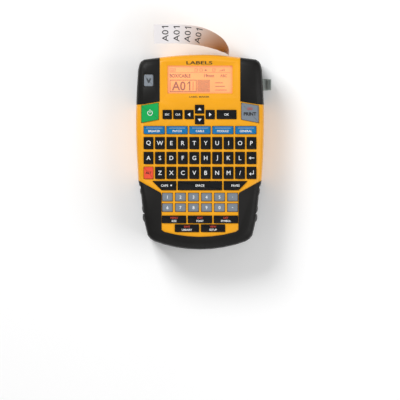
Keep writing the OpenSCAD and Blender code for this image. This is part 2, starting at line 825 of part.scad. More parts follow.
module gear(n, bore) {
    r = n * pitch_r;
    base = r * cos(pressure);
    root = r - dedendum * gear_m;
    tip = r + addendum * gear_m;
    half_tooth = 90 / n - tooth_slack / r * 180 / PI;
    at_pitch = involute(base, r);
    flank_low = max(base, root + 0.05);
    radii = [for (i = [0:4]) flank_low + (tip - flank_low) * i / 4];
    linear_extrude(gear_t) difference() {
        polygon([for (t = [0:n - 1], side = [-1, 1], i = [0:5])
            let (step = side < 0 ? i : 5 - i,
                rr = step == 0 ? root : radii[step - 1],
                half = half_tooth + at_pitch - involute(base, max(rr, flank_low)),
                a = 360 * t / n + side * half)
            [rr * cos(a), rr * sin(a)]]);
        circle(bore);
    }
}

module gear_at(at, z, turn, n, bore) {
    translate([at[0], at[1], z]) rotate(turn) gear(n, bore);
}

module platen_gear() {
    color("ivory") gear_at(platen_at, low_gear_z, platen_turn, roller_n, shaft_r);
}

module idler_gear() {
    color("ivory") gear_at(idler_at, low_gear_z, idler_turn, idler_n, shaft_r + run_gap);
}

module reduction_gear() {
    color("ivory") {
        gear_at(wheel_at, high_gear_z, wheel_turn, wheel_n, shaft_r + run_gap);
        gear_at(wheel_at, low_gear_z, wheel_turn, small_n, shaft_r + run_gap);
        difference() {
            column(wheel_at, shaft_r + 2, low_gear_z + gear_t - eps, high_gear_z + eps);
            column(wheel_at, shaft_r + run_gap, low_gear_z, high_gear_z + 1);
        }
    }
}

motor_r = 9;
motor_shaft_r = 1;
motor_low = guard_floor + 0.4;

module drive_motor() {
    color("silver") difference() {
        column(motor_at, motor_r, motor_low, plate_z);
        column(motor_at, motor_shaft_r + run_gap, plate_z - 3, plate_z + 1);
    }
}

module motor_pinion() {
    color("goldenrod") {
        gear_at(motor_at, high_gear_z, pinion_turn, pinion_n, motor_shaft_r - 0.1);
        column(motor_at, motor_shaft_r, plate_z - 2.5, high_gear_z + gear_t);
    }
}

ribbon_shaft_r = 2;

module ribbon_spindle() {
    color("ivory") {
        column(ribbon_at, ribbon_shaft_r, tape_z - tape_w / 2 + 0.5, low_gear_z + gear_t);
        gear_at(ribbon_at, low_gear_z, ribbon_turn, roller_n, ribbon_shaft_r - 0.1);
    }
}

collar_r = 2.6;

module drive_chassis() {
    color("gray") {
        difference() {
            translate([0, 0, plate_z]) linear_extrude(plate_t)
                polygon([[-40, half_l - 72.5], [half_w - 13, half_l - 72.5],
                    [half_w - 13, half_l - 23.5], [half_w - 15, half_l - 19.5],
                    [half_w - 15, blade_y - 0.5], [-40, blade_y - 0.5]]);
            column(platen_at, shaft_r + run_gap, plate_z - 1, plate_z + 3);
            column(ribbon_at, ribbon_shaft_r + run_gap, plate_z - 1, plate_z + 3);
            column(motor_at, motor_shaft_r + run_gap, plate_z - 1, plate_z + 3);
        }
        for (at = [idler_at, wheel_at])
            column(at, collar_r, plate_z + plate_t - eps, low_gear_z - 0.1);
        column(idler_at, shaft_r, plate_z + plate_t - eps, low_gear_z + gear_t + 0.3);
        column(wheel_at, shaft_r, plate_z + plate_t - eps, high_gear_z + gear_t + 0.5);
    }
}

// The lever turns on its pivot and its fork drives the carrier's pin
carrier_pin_r = 1.5;
fork_gap = 0.1;
lever_hub_r = 3.8;
tab_out = half_w + 7.6;

module cutter_lever() {
    color([0.55, 0.59, 0.57]) translate([0, 0, lever_z]) difference() {
        union() {
            linear_extrude(lever_t) difference() {
                union() {
                    translate(lever_at) circle(lever_hub_r);
                    translate([lever_at[0] - 3, carrier_pin_at[1] - 3.5])
                        square([6, lever_at[1] - carrier_pin_at[1] + 3.5]);
                    polygon([[lever_at[0], lever_at[1]], [lever_at[0] + 3, lever_at[1] - 6],
                        [half_w - 5.5, half_l - 22.3], [half_w - 2, half_l - 23.5],
                        [tab_out, half_l - 24], [tab_out, half_l - 35], [half_w - 1.5, half_l - 35.5],
                        [half_w - 4.5, half_l - 35.5], [half_w - 8, half_l - 27.5],
                        [lever_at[0], lever_at[1] - 4]]);
                }
                translate([carrier_pin_at[0] - carrier_pin_r - fork_gap, carrier_pin_at[1] - 5])
                    square([2 * (carrier_pin_r + fork_gap), 8]);
            }
            box_at([tab_out - 3.6, half_l - 35, -3.5], [tab_out, half_l - 24, lever_t + 3.5]);
        }
        translate([lever_at[0], lever_at[1], -1])
            cylinder(r = pivot_r + run_gap, h = lever_t + 2);
    }
}

module cutter_carrier() {
    x = carrier_pin_at[0];
    y = carrier_pin_at[1];
    bar_x = tape_x + 13.3;
    color("gray") {
        translate([0, 0, carrier_z]) linear_extrude(carrier_t)
            polygon([[x + 3.5, y - 2.5], [x + 3.5, y + 2.5], [bar_x + 3.5, y + 2.5],
                [bar_x + 3.5, blade_y], [tape_x + 2.5, blade_y], [tape_x + 2.5, blade_y - 1.6],
                [bar_x, blade_y - 1.6], [bar_x, y - 2.5]]);
        column(carrier_pin_at, carrier_pin_r, lever_z + 0.3, carrier_z + eps);
    }
}

module cutter_blade() {
    low = tape_z - tape_w / 2 - 0.8;
    color("silver") box_at([tape_x + 2, blade_y, low],
        [tape_x + 8.5, blade_y + blade_t, low + tape_w + 1.6]);
}

module cutter_pivot() {
    color("silver") column(lever_at, pivot_r, seat_top, plate_z);
}

module cutter_spring() {
    turn_t = 0.9;
    color("silver") for (i = [0:2])
        translate([lever_at[0], lever_at[1], seat_top + turn_t / 2 + 0.05 + i * 0.85])
        rotate_extrude() translate([pivot_r + 0.9, 0]) circle(turn_t / 2);
}

cut_gap = 1;
module inner_tape() {
    color("white") box_at([tape_x - tape_t / 2, half_l - 33.5, tape_z - tape_w / 2],
        [tape_x + tape_t / 2, blade_y - 1.6 - cut_gap, tape_z + tape_w / 2]);
}

// The printed label leaves the slot on edge, curls to the left and turns its face to the front
label_rings = 30;
label_way = [[0, blade_y - half_l + 1.4, 0, 90], [0, -3, 0, 90], [0, 0.5, 0, 90],
    [-1.6, 4, 2, 76], [-4.7, 7.4, 5, 62], [-10.7, 12, 9, 46], [-20.5, 16.3, 15, 30],
    [-30.7, 19, 21, 16], [-42.7, 20.4, 27, 6], [-58, 20.8, 33, 1], [-74.8, 20.5, 38, -2]];

function spread(list, f) =
    let (n = len(list) - 1, i = min(n - 1, floor(f * n)), t = f * n - i,
        p0 = list[max(0, i - 1)], p1 = list[i], p2 = list[i + 1], p3 = list[min(n, i + 2)])
    0.5 * (2 * p1 + (p2 - p0) * t + (2 * p0 - 5 * p1 + 4 * p2 - p3) * t * t
        + (3 * p1 - p0 - 3 * p2 + p3) * t * t * t);

function label_ring(f) =
    let (here = spread(label_way, f),
        ahead = spread(label_way, min(1, f + 0.01)), behind = spread(label_way, max(0, f - 0.01)),
        way = [ahead[0] - behind[0], ahead[1] - behind[1]], u = way / norm(way),
        across = [u[1] * cos(here[3]), -u[0] * cos(here[3]), sin(here[3])],
        out = [u[1] * sin(here[3]), -u[0] * sin(here[3]), -cos(here[3])],
        at = [tape_x + here[0], half_l + here[1], tape_z + here[2]])
    [for (s = [[-1, -1], [1, -1], [1, 1], [-1, 1]])
        at + across * s[0] * tape_w / 2 + out * s[1] * tape_t / 2];

module printed_label() {
    points = [for (i = [0:label_rings]) each label_ring(i / label_rings)];
    sides = [for (i = [0:label_rings - 1], k = [0:3])
        let (a = 4 * i + k, b = 4 * i + (k + 1) % 4)
        each k == 2 ? [[a, b, a + 4], [b, b + 4, a + 4]] : [[a, b, b + 4], [a, b + 4, a + 4]]];
    last = 4 * label_rings;
    color("whitesmoke") polyhedron(points,
        concat(sides, [[3, 2, 1], [3, 1, 0], [last, last + 1, last + 2], [last, last + 2, last + 3]]));
}

front_case();
rear_case();
left_corner_guard();
right_corner_guard();
lower_bumper();
display_window();
display_panel();
display_backlight();
keypad_mat();
main_board();
board_screws();
case_screws();
rear_feet();
release_button();
power_key();
print_key();
escape_key();
clear_key();
left_key();
right_key();
up_key();
down_key();
ok_key();
hot_keys();
letter_keys_upper();
letter_keys_middle();
letter_keys_lower();
alternate_key();
caps_key();
space_key();
favourites_key();
number_keys_upper();
number_keys_lower();
function_keys_upper();
function_keys_lower();
cassette_door();
door_window();
door_pin();
battery_door();
battery_cells();
battery_contacts();
tape_cassette();
tape_spool();
ribbon_spool();
print_head();
platen_roller();
platen_gear();
drive_chassis();
drive_motor();
motor_pinion();
reduction_gear();
idler_gear();
ribbon_spindle();
cutter_lever();
cutter_carrier();
cutter_blade();
cutter_pivot();
cutter_spring();
inner_tape();
printed_label();
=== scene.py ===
import json
import math

import bpy
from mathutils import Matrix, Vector


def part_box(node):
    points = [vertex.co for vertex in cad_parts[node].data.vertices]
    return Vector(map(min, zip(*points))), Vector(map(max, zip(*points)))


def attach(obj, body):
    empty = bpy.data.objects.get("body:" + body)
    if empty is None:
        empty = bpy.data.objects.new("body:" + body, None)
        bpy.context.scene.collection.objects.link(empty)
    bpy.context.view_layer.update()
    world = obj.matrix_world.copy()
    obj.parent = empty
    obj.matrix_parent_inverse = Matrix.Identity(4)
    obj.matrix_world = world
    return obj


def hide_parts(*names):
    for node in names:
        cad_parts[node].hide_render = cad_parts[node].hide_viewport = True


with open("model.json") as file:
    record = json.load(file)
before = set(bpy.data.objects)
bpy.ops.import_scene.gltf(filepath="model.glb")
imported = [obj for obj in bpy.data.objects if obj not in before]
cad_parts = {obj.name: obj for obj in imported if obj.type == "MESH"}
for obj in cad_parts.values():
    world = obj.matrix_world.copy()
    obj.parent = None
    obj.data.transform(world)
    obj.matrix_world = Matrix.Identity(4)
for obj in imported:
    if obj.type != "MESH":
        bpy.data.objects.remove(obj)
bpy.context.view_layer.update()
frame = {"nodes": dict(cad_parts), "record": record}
MM = 0.001
RECORD = frame["record"]
BODY_OF = {n: b for b, names in RECORD["behaviour"]["bodies"].items() for n in names}
SLOT_OF = {row["node"]: row["material_slot"] for row in RECORD["subparts"]}

CASE_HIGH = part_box("front_case")[1]
FACE_Z = CASE_HIGH.z
HALF_LENGTH = CASE_HIGH.y
KEY_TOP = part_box("space_key")[1].z
INK = 0.03 * MM


# ---------------------------------------------------------------- view and light
VIEW_FIELD, VIEW_DISTANCE, VIEW_DROP = 400 * MM, 6.0, 48 * MM
# Name, place, size in metres and power in watts
LIGHTS = [
    ("key_light", (-0.6, 0.8, 1.0), 0.6, 13),
    ("fill_light", (0.9, -0.2, 0.9), 0.9, 6.5),
    ("low_light", (0.0, -1.1, 0.7), 0.8, 3),
]
ROOM_LIGHT = 0.36


def set_camera():
    """Straight above the key face, with the body in the upper half of the frame."""
    bpy.ops.object.camera_add(location=(0, -VIEW_DROP, FACE_Z + VIEW_DISTANCE), rotation=(0, 0, 0))
    camera = bpy.context.object
    camera.data.lens = camera.data.sensor_width * VIEW_DISTANCE / VIEW_FIELD
    camera.data.clip_end = 3 * VIEW_DISTANCE
    bpy.context.scene.camera = camera


def add_light(name, place, size, power):
    bpy.ops.object.light_add(type="AREA", location=place)
    lamp = bpy.context.object
    lamp.name = name
    lamp.data.size = size
    lamp.data.energy = power
    lamp.rotation_euler = (Vector((0, 0, 0)) - Vector(place)).to_track_quat("-Z", "Y").to_euler()


def set_studio():
    bpy.ops.mesh.primitive_plane_add(size=6, location=(0, 0, -0.05 * MM))
    floor = bpy.context.object
    floor.name = "pale_floor"
    floor.data.materials.append(plain_floor())
    for name, place, size, power in LIGHTS:
        add_light(name, place, size, power)
    world = bpy.data.worlds.new("studio")
    world.use_nodes = True
    world.node_tree.nodes["Background"].inputs[0].default_value = (1, 1, 1, 1)
    world.node_tree.nodes["Background"].inputs[1].default_value = ROOM_LIGHT
    bpy.context.scene.world = world
    bpy.context.scene.view_settings.view_transform = "Standard"


# ---------------------------------------------------------------- materials
def new_material(name):
    material = bpy.data.materials.new(name)
    material.use_nodes = True
    return material, material.node_tree, material.node_tree.nodes["Principled BSDF"]


def noise(tree, source, scale, detail=4):
    node = tree.nodes.new("ShaderNodeTexNoise")
    node.inputs["Scale"].default_value = scale
    node.inputs["Detail"].default_value = detail
    tree.links.new(source, node.inputs["Vector"])
    return node.outputs[0]


def to_range(tree, value, low, high):
    node = tree.nodes.new("ShaderNodeMapRange")
    node.inputs["From Min"].default_value = 0.3
    node.inputs["From Max"].default_value = 0.7
    node.inputs["To Min"].default_value = low
    node.inputs["To Max"].default_value = high
    tree.links.new(value, node.inputs["Value"])
    return node.outputs[0]


def two_colours(tree, factor, first, second):
    node = tree.nodes.new("ShaderNodeMix")
    node.data_type = "RGBA"
    node.inputs[6].default_value = (*first, 1)
    node.inputs[7].default_value = (*second, 1)
    tree.links.new(factor, node.inputs[0])
    return node.outputs[2]


def add_bump(tree, shader, height, strength, distance):
    node = tree.nodes.new("ShaderNodeBump")
    node.inputs["Strength"].default_value = strength
    node.inputs["Distance"].default_value = distance
    tree.links.new(height, node.inputs["Height"])
    tree.links.new(node.outputs[0], shader.inputs["Normal"])


def object_place(tree):
    return tree.nodes.new("ShaderNodeTexCoord").outputs["Object"]


def shade(colour, share):
    return tuple(min(1.0, c * share) for c in colour)


def moulded(name, colour, rough=0.42, grain=2600, depth=0.25, mottle=0.06, coat=0.0, metal=0.0,
             sheen=0.35):
    """Moulded finish: fine spark texture, slow colour mottling and uneven gloss."""
    material, tree, shader = new_material(name)
    place = object_place(tree)
    slow = noise(tree, place, 38, 3)
    factor = to_range(tree, slow, 0, 1)
    skin = two_colours(tree, factor, shade(colour, 1 - mottle), shade(colour, 1 + mottle))
    tree.links.new(skin, shader.inputs["Base Color"])
    gloss = to_range(tree, noise(tree, place, 420, 5), rough - 0.06, rough + 0.08)
    tree.links.new(gloss, shader.inputs["Roughness"])
    add_bump(tree, shader, noise(tree, place, grain, 2), depth, 0.04 * MM)
    shader.inputs["Metallic"].default_value = metal
    shader.inputs["Specular IOR Level"].default_value = sheen
    shader.inputs["Coat Weight"].default_value = coat
    return material


def brushed(name, colour):
    """Drawn metal with fine lines along its length."""
    material, tree, shader = new_material(name)
    stretch = tree.nodes.new("ShaderNodeMapping")
    stretch.inputs["Scale"].default_value = (30, 900, 900)
    tree.links.new(object_place(tree), stretch.inputs["Vector"])
    lines = noise(tree, stretch.outputs[0], 3, 3)
    tree.links.new(two_colours(tree, lines, shade(colour, 0.8), colour), shader.inputs["Base Color"])
    tree.links.new(to_range(tree, lines, 0.25, 0.42), shader.inputs["Roughness"])
    add_bump(tree, shader, lines, 0.2, 0.02 * MM)
    shader.inputs["Metallic"].default_value = 1.0
    return material


def clear_lens(name, tint):
    """Thin hard-coated window that mirrors a little and lets the panel show."""
    material, tree, shader = new_material(name)
    shader.inputs["Base Color"].default_value = (*tint, 1)
    shader.inputs["Alpha"].default_value = 0.08
    shader.inputs["IOR"].default_value = 1.49
    smears = to_range(tree, noise(tree, object_place(tree), 60, 4), 0.04, 0.12)
    tree.links.new(smears, shader.inputs["Roughness"])
    return material


def lit_amber(name):
    """Backlit panel: brightness that varies in slow patches, with a faint pixel grid."""
    material, tree, shader = new_material(name)
    place = object_place(tree)
    slow = to_range(tree, noise(tree, place, 22, 2), 0, 1)
    glow = two_colours(tree, slow, (0.93, 0.27, 0.045), (1.0, 0.34, 0.07))
    grid = tree.nodes.new("ShaderNodeTexChecker")
    grid.inputs["Scale"].default_value = 2200
    tree.links.new(place, grid.inputs["Vector"])
    add_bump(tree, shader, grid.outputs[1], 0.15, 0.01 * MM)
    tree.links.new(glow, shader.inputs["Base Color"])
    tree.links.new(glow, shader.inputs["Emission Color"])
    shader.inputs["Emission Strength"].default_value = 0.3
    shader.inputs["Roughness"].default_value = 0.5
    return material


def label_stock_painted_shade(name):
    """Laminated tape: white at its free end, with painted shade towards the cutter where the curled
    tape turns from the light, and a satin face.
    """
    material, tree, shader = new_material(name)
    coords = tree.nodes.new("ShaderNodeTexCoord")
    split = tree.nodes.new("ShaderNodeSeparateXYZ")
    tree.links.new(coords.outputs["UV"], split.inputs[0])
    # Ramp along the tape is painted shade: dark brown at the cutter end, fading to white at the free
    # end.
    ramp = tree.nodes.new("ShaderNodeValToRGB")
    ramp.color_ramp.elements[0].position = 0.08
    ramp.color_ramp.elements[0].color = (0.33, 0.17, 0.10, 1)
    ramp.color_ramp.elements[1].position = 0.78
    ramp.color_ramp.elements[1].color = (0.74, 0.71, 0.72, 1)
    middle = ramp.color_ramp.elements.new(0.42)
    middle.color = (0.56, 0.43, 0.37, 1)
    tree.links.new(split.outputs[0], ramp.inputs[0])
    tree.links.new(ramp.outputs[0], shader.inputs["Base Color"])
    fibre = noise(tree, coords.outputs["Object"], 900, 4)
    tree.links.new(to_range(tree, fibre, 0.34, 0.5), shader.inputs["Roughness"])
    add_bump(tree, shader, fibre, 0.12, 0.02 * MM)
    return material


def plain_floor():
    material, tree, shader = new_material("floor_paper")
    tree.links.new(two_colours(tree, noise(tree, object_place(tree), 3, 2), (0.93, 0.93, 0.93),
                               (0.96, 0.96, 0.96)), shader.inputs["Base Color"])
    shader.inputs["Roughness"].default_value = 0.9
    return material


FINISH = {
    "yellow_case": moulded("yellow_shell", (0.83, 0.36, 0.006), 0.36, 2400, 0.22, 0.03),
    "black_rubber": moulded("soft_black_rubber", (0.0065, 0.006, 0.0055), 0.5, 1500, 0.4, 0.25,
                            sheen=0.22),
    "green_key": moulded("green_cap", (0.002, 0.36, 0.075), 0.4, 2600, 0.2, 0.05),
    "grey_key": moulded("grey_cap", (0.185, 0.215, 0.25), 0.45, 2600, 0.25, 0.05),
    "blue_key": moulded("blue_cap", (0.001, 0.15, 0.38), 0.4, 2600, 0.2, 0.05),
    "red_key": moulded("red_cap", (0.78, 0.075, 0.035), 0.42, 2600, 0.2, 0.05),
    "black_key": moulded("black_cap", (0.005, 0.005, 0.006), 0.42, 2600, 0.25, 0.15, sheen=0.2),
    "silver_button": moulded("release_grey", (0.21, 0.235, 0.265), 0.38, 2600, 0.2, 0.05),
    # Lever colour is partly its own light grey-green and partly painted light: it is raised to lift the
    # lever out of the shadow it sits in.
    "lever_plastic": moulded("lever_grey_green_painted_light", (0.46, 0.51, 0.48), 0.42, 2400, 0.25, 0.06),
    "window_lens": clear_lens("hard_window", (1.0, 0.88, 0.76)),
    "door_lens": clear_lens("door_window_smoke", (0.45, 0.46, 0.48)),
    "amber_panel": lit_amber("amber_backlight"),
    "white_plastic": moulded("diffuser_white", (0.8, 0.8, 0.78), 0.5),
    "grey_silicone": moulded("mat_silicone", (0.09, 0.09, 0.095), 0.55, 1800, 0.3, 0.1),
    "green_board": moulded("solder_mask", (0.01, 0.11, 0.04), 0.3, 900, 0.3, 0.15, coat=0.4),
    "steel": brushed("bright_steel", (0.55, 0.56, 0.58)),
    "cell_jacket": moulded("cell_sleeve", (0.1, 0.11, 0.13), 0.28, 1200, 0.1, 0.1, coat=0.5),
    "dark_plastic": moulded("dark_frame_plastic", (0.04, 0.04, 0.045), 0.45, 2200, 0.3, 0.1),
    "label_tape": moulded("blank_tape", (0.8, 0.79, 0.77), 0.4, 900, 0.15, 0.03),
    "printed_tape": label_stock_painted_shade("laminated_tape_painted_shade"),
    "ribbon_film": moulded("ribbon_black", (0.01, 0.01, 0.012), 0.2, 700, 0.1, 0.2, coat=0.4),
    "head_ceramic": moulded("head_black", (0.03, 0.03, 0.03), 0.35, 1500, 0.2, 0.1),
    "roller_rubber": moulded("roller_black", (0.02, 0.02, 0.02), 0.7, 1400, 0.5, 0.15),
    "brass_pinion": brushed("brass_teeth", (0.62, 0.44, 0.17)),
    "gear_plastic": moulded("acetal_white", (0.78, 0.76, 0.68), 0.36, 1600, 0.15, 0.04),
}
WHITE_INK = moulded("white_ink", (0.78, 0.79, 0.8), 0.5, 2600, 0.1, 0.03)
BLACK_INK = moulded("black_ink", (0.012, 0.012, 0.012), 0.5, 2600, 0.1, 0.1)
RED_INK = moulded("red_ink", (0.5, 0.05, 0.03), 0.5, 2600, 0.1, 0.05)
AMBER_DARK = moulded("panel_pixels", (0.33, 0.045, 0.004), 0.5, 2600, 0.1, 0.05)
# Dark grey for the release arrow: painted shade standing in for the moulded arrow's recess.
RELEASE_ARROW_SHADE = moulded("arrow_shadow", (0.05, 0.055, 0.06), 0.5, 2600, 0.1, 0.05)


# ---------------------------------------------------------------- modelling helpers
def alone(piece):
    bpy.ops.object.select_all(action="DESELECT")
    piece.select_set(True)
    bpy.context.view_layer.objects.active = piece


def settle(piece):
    """Puts a piece's place, turn and size into its mesh."""
    alone(piece)
    bpy.ops.object.transform_apply(location=True, rotation=True, scale=True)


def apply_modifiers(piece):
    alone(piece)
    for modifier in list(piece.modifiers):
        bpy.ops.object.modifier_apply(modifier=modifier.name)


def smooth(piece, degrees=35):
    alone(piece)
    bpy.ops.object.shade_smooth_by_angle(angle=math.radians(degrees))


def join(name, parts):
    alone(parts[0])
    for part in parts:
        part.select_set(True)
    if len(parts) > 1:
        bpy.ops.object.join()
    parts[0].name = name
    return parts[0]


def finish_piece(piece, name, node, material=None, hides=True, slot=None):
    """Names a piece, gives it the finish and the body of its node, and hides that node."""
    piece.name = name
    slot = slot or SLOT_OF[node]
    piece.data.materials.clear()
    piece.data.materials.append(material or FINISH[slot])
    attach(piece, BODY_OF[node])
    if hides:
        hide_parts(node)


def softened(node, width, segments=2, angle=28):
    """A copy of a CAD node with merged faces and its sharp edges rounded."""
    source = frame["nodes"][node]
    piece = source.copy()
    piece.data = source.data.copy()
    for key in list(piece.keys()):
        del piece[key]
    piece.parent = None
    bpy.context.scene.collection.objects.link(piece)
    alone(piece)
    bpy.ops.object.mode_set(mode="EDIT")
    bpy.ops.mesh.select_all(action="SELECT")
    bpy.ops.mesh.remove_doubles(threshold=0.004 * MM)
    bpy.ops.mesh.dissolve_limited(angle_limit=math.radians(1.5))
    bpy.ops.object.mode_set(mode="OBJECT")
    edge = piece.modifiers.new("edge", "BEVEL")
    edge.width = width
    edge.segments = segments
    edge.limit_method = "ANGLE"
    edge.angle_limit = math.radians(angle)
    edge.use_clamp_overlap = True
    edge.harden_normals = False
    apply_modifiers(piece)
    smooth(piece, 40)
    return piece


def key_plans(node):
    """Corner points of each key top in a node, in reading order, read from the CAD mesh."""
    mesh = frame["nodes"][node].data
    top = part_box(node)[1].z
    spot = [tuple(round(c / MM, 2) for c in v.co) for v in mesh.vertices]
    group = {}
    for face in mesh.polygons:
        corners = [spot[i] for i in face.vertices]
        if all(abs(c[2] * MM - top) < 0.02 * MM for c in corners):
            joined = set(c[:2] for c in corners)
            for old in {id(group[c]): group[c] for c in joined if c in group}.values():
                joined |= old
            for corner in joined:
                group[corner] = joined
    plans = []
    for points in {id(g): g for g in group.values()}.values():
        cx = sum(p[0] for p in points) / len(points)
        cy = sum(p[1] for p in points) / len(points)
        ring = sorted(points, key=lambda p: math.atan2(p[1] - cy, p[0] - cx))
        plans.append([Vector((x * MM, y * MM)) for x, y in ring])
    return sorted(plans, key=lambda ring: (-round(centre_of(ring).y / MM), centre_of(ring).x))


def centre_of(ring):
    low = Vector((min(p.x for p in ring), min(p.y for p in ring)))
    high = Vector((max(p.x for p in ring), max(p.y for p in ring)))
    return (low + high) / 2


def pick_edges(piece, test):
    """Leaves only the edges selected whose two ends pass the test; starts in edit mode."""
    bpy.ops.mesh.select_mode(type="EDGE")
    bpy.ops.mesh.select_all(action="DESELECT")
    bpy.ops.object.mode_set(mode="OBJECT")
    for edge in piece.data.edges:
        a, b = (piece.data.vertices[i].co for i in edge.vertices)
        edge.select = test(a, b)
    bpy.ops.object.mode_set(mode="EDIT")


def pick_faces(piece, test):
    bpy.ops.mesh.select_mode(type="FACE")
    bpy.ops.mesh.select_all(action="DESELECT")
    bpy.ops.object.mode_set(mode="OBJECT")
    for face in piece.data.polygons:
        face.select = test(face)
    bpy.ops.object.mode_set(mode="EDIT")


def key_cap(ring, low, high, corner=1.0, slope=0.35, skirt=0.0):
    """One key: a block drawn to its four corners, with round corners, a skirt and a soft rim."""
    bpy.ops.object.select_all(action="DESELECT")
    bpy.ops.mesh.primitive_cube_add(size=2 * MM, location=(0, 0, 0))
    cap = bpy.context.object
    middle = centre_of(ring)
    for vertex in cap.data.vertices:
        side = math.atan2(vertex.co.y, vertex.co.x)
        place = min(ring, key=lambda p: abs(math.remainder(
            math.atan2((p - middle).y, (p - middle).x * ratio_of(ring)) - side, 2 * math.pi)))
        vertex.co = (place.x, place.y, low if vertex.co.z < 0 else high)
    bpy.ops.object.mode_set(mode="EDIT")
    pick_edges(cap, lambda a, b: abs(a.z - b.z) > 0.5 * (high - low))
    bpy.ops.mesh.bevel(offset=corner * MM, segments=4, affect="EDGES")
    if skirt:
        pick_faces(cap, lambda face: face.normal.z > 0.9)
        bpy.ops.transform.translate(value=(0, 0, -skirt * 0.9))
        bpy.ops.mesh.inset(thickness=skirt, depth=skirt * 0.9)
    pick_faces(cap, lambda face: face.normal.z > 0.9)
    bpy.ops.mesh.inset(thickness=slope * MM, depth=0)
    pick_edges(cap, lambda a, b: min(a.z, b.z) > high - 0.001 * MM and not inside(a, ring, slope))
    bpy.ops.transform.translate(value=(0, 0, -slope * 0.55 * MM))
    pick_faces(cap, lambda face: face.normal.z > 0.999)
    bpy.ops.mesh.inset(thickness=0.25 * MM, depth=0)
    bpy.ops.object.mode_set(mode="OBJECT")
    return cap


def ratio_of(ring):
    width = max(p.x for p in ring) - min(p.x for p in ring)
    length = max(p.y for p in ring) - min(p.y for p in ring)
    return length / width


def inside(point, ring, margin):
    """True if the point is further than about margin inside the ring's edges."""
    flat = point.to_2d()
    for a, b in zip(ring, ring[1:] + ring[:1]):
        along = (b - a).normalized()
        away = (flat - a).dot(Vector((-along.y, along.x)))
        if away < margin * 0.6 * MM:
            return False
    return True


def lettering(text, place, size, turn=0.0, weight=0.012, width=None):
    """Raised print on a flat top, centred at the place."""
    bpy.ops.object.select_all(action="DESELECT")
    bpy.ops.object.text_add(location=(0, 0, 0))
    word = bpy.context.object
    word.data.body = text
    word.data.align_x, word.data.align_y = "CENTER", "CENTER"
    word.data.size = size * MM
    word.data.offset = weight * size * MM
    word.data.extrude = INK / 2
    word.data.resolution_u = 3
    bpy.ops.object.convert(target="MESH")
    word = bpy.context.object
    xs = [v.co.x for v in word.data.vertices]
    ys = [v.co.y for v in word.data.vertices]
    shift = Vector(((min(xs) + max(xs)) / 2, (min(ys) + max(ys)) / 2, 0))
    stretch = width * MM / (max(xs) - min(xs)) if width else 1.0
    for vertex in word.data.vertices:
        vertex.co -= shift
        vertex.co.x *= stretch
    word.rotation_euler.z = turn
    word.location = place
    settle(word)
    return word


def asset_code(size, width, weight):
    """The sample code A01 about the origin; its figure one is drawn with a flag and a stem."""
    word = lettering("A0", Vector((-width * 0.13 * MM, 0, 0)), size, weight=weight, width=width * 0.74)
    high = max(v.co.y for v in word.data.vertices) / MM
    right, line = width / 2, size * 0.1
    stem = [(right - line, -high), (right, -high), (right, high), (right - line * 0.9, high),
            (right - size * 0.24, high - size * 0.15), (right - size * 0.24, high - size * 0.26),
            (right - line, high - size * 0.14)]
    return join("asset_code", [word, flat_shape(stem, -INK / 2)])


def flat_shape(points, z, height=INK):
    """A flat printed shape with any outline, from a circle that takes the outline's points."""
    bpy.ops.object.select_all(action="DESELECT")
    bpy.ops.mesh.primitive_circle_add(vertices=len(points), radius=MM, fill_type="NGON")
    shape = bpy.context.object
    for vertex, point in zip(shape.data.vertices, points):
        vertex.co = (point[0] * MM, point[1] * MM, z)
    bpy.ops.object.mode_set(mode="EDIT")
    bpy.ops.mesh.select_all(action="SELECT")
    bpy.ops.mesh.extrude_region_move(TRANSFORM_OT_translate={"value": (0, 0, height)})
    bpy.ops.mesh.select_all(action="SELECT")
    bpy.ops.mesh.normals_make_consistent(inside=False)
    bpy.ops.object.mode_set(mode="OBJECT")
    return shape


def rectangle(x0, y0, x1, y1, z, height=INK):
    return flat_shape([(x0, y0), (x1, y0), (x1, y1), (x0, y1)], z, height)


def frame_shape(x0, y0, x1, y1, line, z):
    return [rectangle(x0, y0, x1, y0 + line, z), rectangle(x0, y1 - line, x1, y1, z),
            rectangle(x0, y0 + line, x0 + line, y1 - line, z),
            rectangle(x1 - line, y0 + line, x1, y1 - line, z)]


def ring_shape(x, y, radius, line, z, start=0, end=360, steps=28):
    """A flat arc of a ring, for the power symbol and small icons."""
    angles = [math.radians(start + (end - start) * i / steps) for i in range(steps + 1)]
    outer = [(x + radius * math.cos(a), y + radius * math.sin(a)) for a in angles]
    inner = [(x + (radius - line) * math.cos(a), y + (radius - line) * math.sin(a))
             for a in reversed(angles)]
    return flat_shape(outer + inner, z)


def arrow(x, y, size, turn, z):
    """A solid arrowhead that points up before it is turned."""
    points = [(-size, -size * 0.55), (size, -size * 0.55), (0, size * 0.75)]
    c, s = math.cos(math.radians(turn)), math.sin(math.radians(turn))
    return flat_shape([(x + px * c - py * s, y + px * s + py * c) for px, py in points], z)


def print_on(node, name, parts, material, slot):
    piece = join(name, parts)
    finish_piece(piece, name, node, material, hides=False, slot=slot)
    return piece


# ---------------------------------------------------------------- keys and their print
KEY_LEGENDS = {
    "letter_keys_upper": list("QWERTYUIOP"),
    "letter_keys_middle": list("ASDFGHJKL") + [None],
    "letter_keys_lower": list("ZXCVBNM") + ["/", None],
    "number_keys_upper": ["1", "2", "3", "4", "5", "."],
    "number_keys_lower": ["6", "7", "8", "9", "0", "-"],
    "hot_keys": ["BREAKER", "PATCH", "CABLE", "MODULE", "GENERAL"],
    "escape_key": ["ESC"], "clear_key": ["CLR"], "ok_key": ["OK"],
    "left_key": [None], "right_key": [None], "up_key": [None], "down_key": [None],
    "caps_key": ["CAPS"], "space_key": ["SPACE"], "favourites_key": ["FAVES"],
    "alternate_key": ["ALT"], "print_key": ["PRINT"], "power_key": [None],
    "function_keys_upper": [("MENU", "SIZE"), ("EDIT", "FONT"), ("LIST", "SYMBOL")],
    "function_keys_lower": [("SAVE", "LIBRARY"), ("VIEW", "SETUP")],
}
